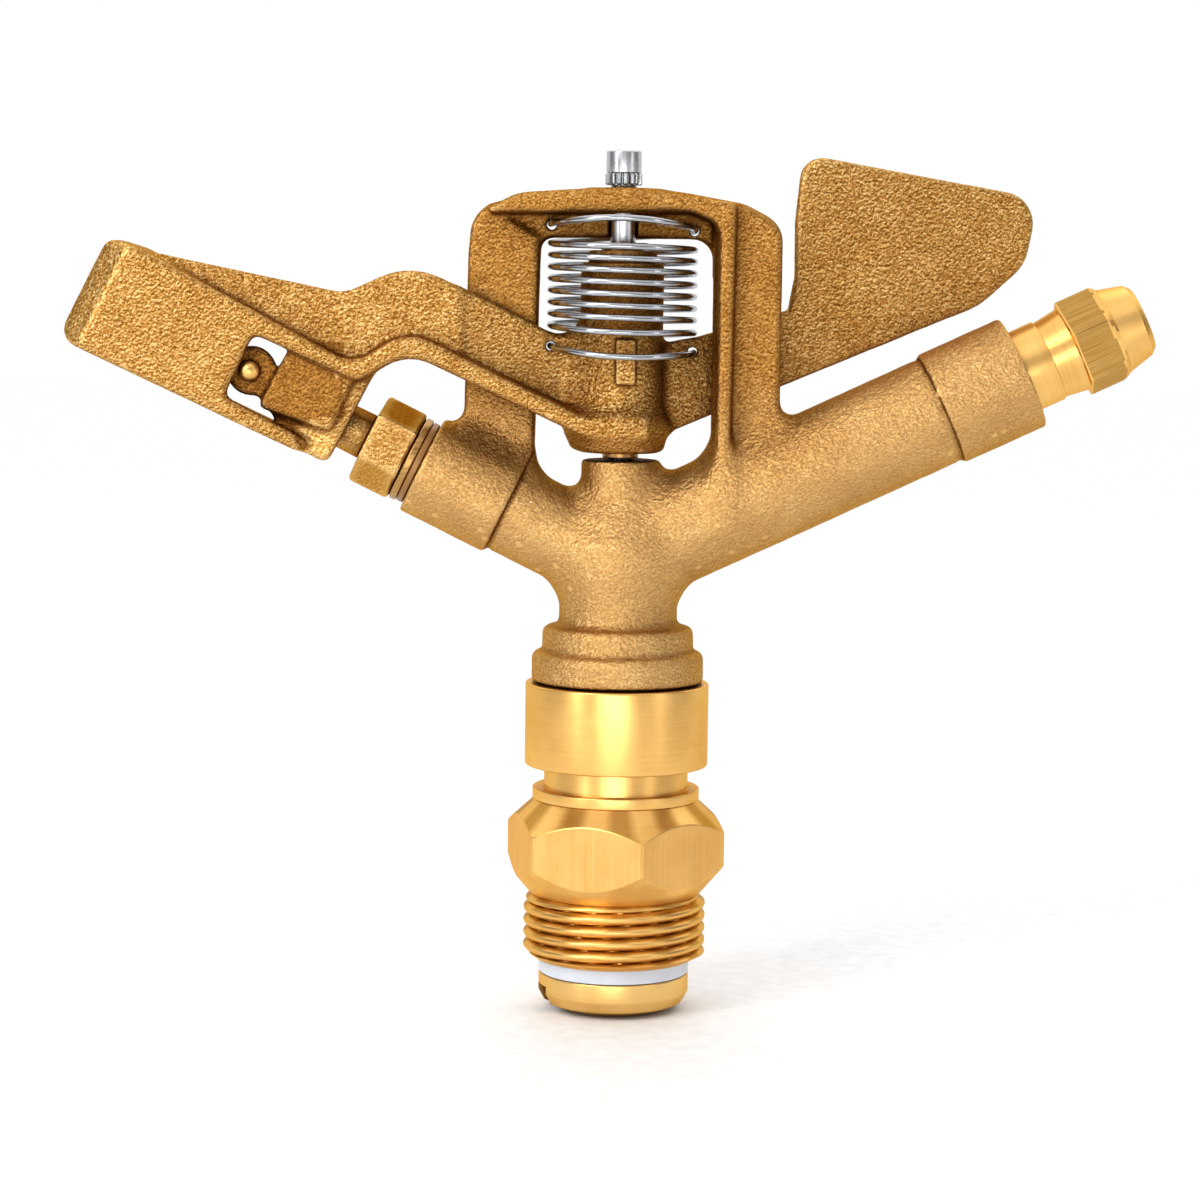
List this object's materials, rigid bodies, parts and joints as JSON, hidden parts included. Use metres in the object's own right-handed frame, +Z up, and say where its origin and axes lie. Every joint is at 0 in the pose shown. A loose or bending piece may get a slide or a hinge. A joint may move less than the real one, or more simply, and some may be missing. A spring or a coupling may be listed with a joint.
{
  "type": "impact sprinkler",
  "caption": "Brass impact sprinkler head with a range barrel, a spreader barrel and a spring-loaded swing arm on a threaded bearing nipple.",
  "frame": {"origin": "on the axis of rotation, at the bottom end of the stem tube, where the water enters", "axes": "+Z up along the axis of rotation, +X towards the range nozzle, -Y the front"},
  "size_m": [0.1981, 0.0404, 0.1576],
  "materials": {
    "cast_brass": "sand-cast, unpolished",
    "turned_brass": "turned, bright",
    "bronze": "turned bearing bronze",
    "steel": "drawn stainless wire and bar",
    "white_plastic": "smooth moulded",
    "dark_rubber": "matte"
  },
  "bodies": {
    "nipple": {"bearing_nipple": "turned_brass", "bearing_washer_lower": "bronze", "bearing_spring": "steel"},
    "washers": {"seal_washer": "white_plastic", "bearing_washer_upper": "bronze"},
    "head": {"stem_tube": "turned_brass", "stem_gasket": "dark_rubber", "bearing_sleeve": "turned_brass", "body_casting": "cast_brass", "range_nozzle": "turned_brass", "range_nozzle_seal": "dark_rubber", "spreader_nozzle": "cast_brass", "spreader_nozzle_washer": "dark_rubber", "spreader_lock_ring": "bronze", "stream_straightener": "white_plastic", "fulcrum_pin": "steel", "pin_washer": "bronze", "arm_spring": "steel"},
    "arm": {"swing_arm": "cast_brass", "arm_bushing_lower": "bronze", "arm_bushing_upper": "bronze", "diffuser_screw": "turned_brass", "diffuser_nut": "turned_brass"}
  },
  "joints": [
    {"name": "head_press", "type": "slide", "parent": "nipple", "child": "washers", "axis": [0, 0, 1], "range_m": [-0.002, 0], "stiffness_N_per_m": 4000, "springref_m": 0.005, "deforming": ["bearing_spring"]},
    {"name": "head_spin", "type": "hinge", "parent": "washers", "child": "head", "pos_m": [0, 0, 0], "axis": [0, 0, 1], "continuous": true},
    {"name": "arm_swing", "type": "hinge", "parent": "head", "child": "arm", "pos_m": [0, 0, 0.12], "axis": [0, 0, 1], "range_deg": [0, 100], "stiffness_Nm_per_rad": 0.05, "springref_deg": -57.3, "deforming": ["arm_spring"]}
  ]
}
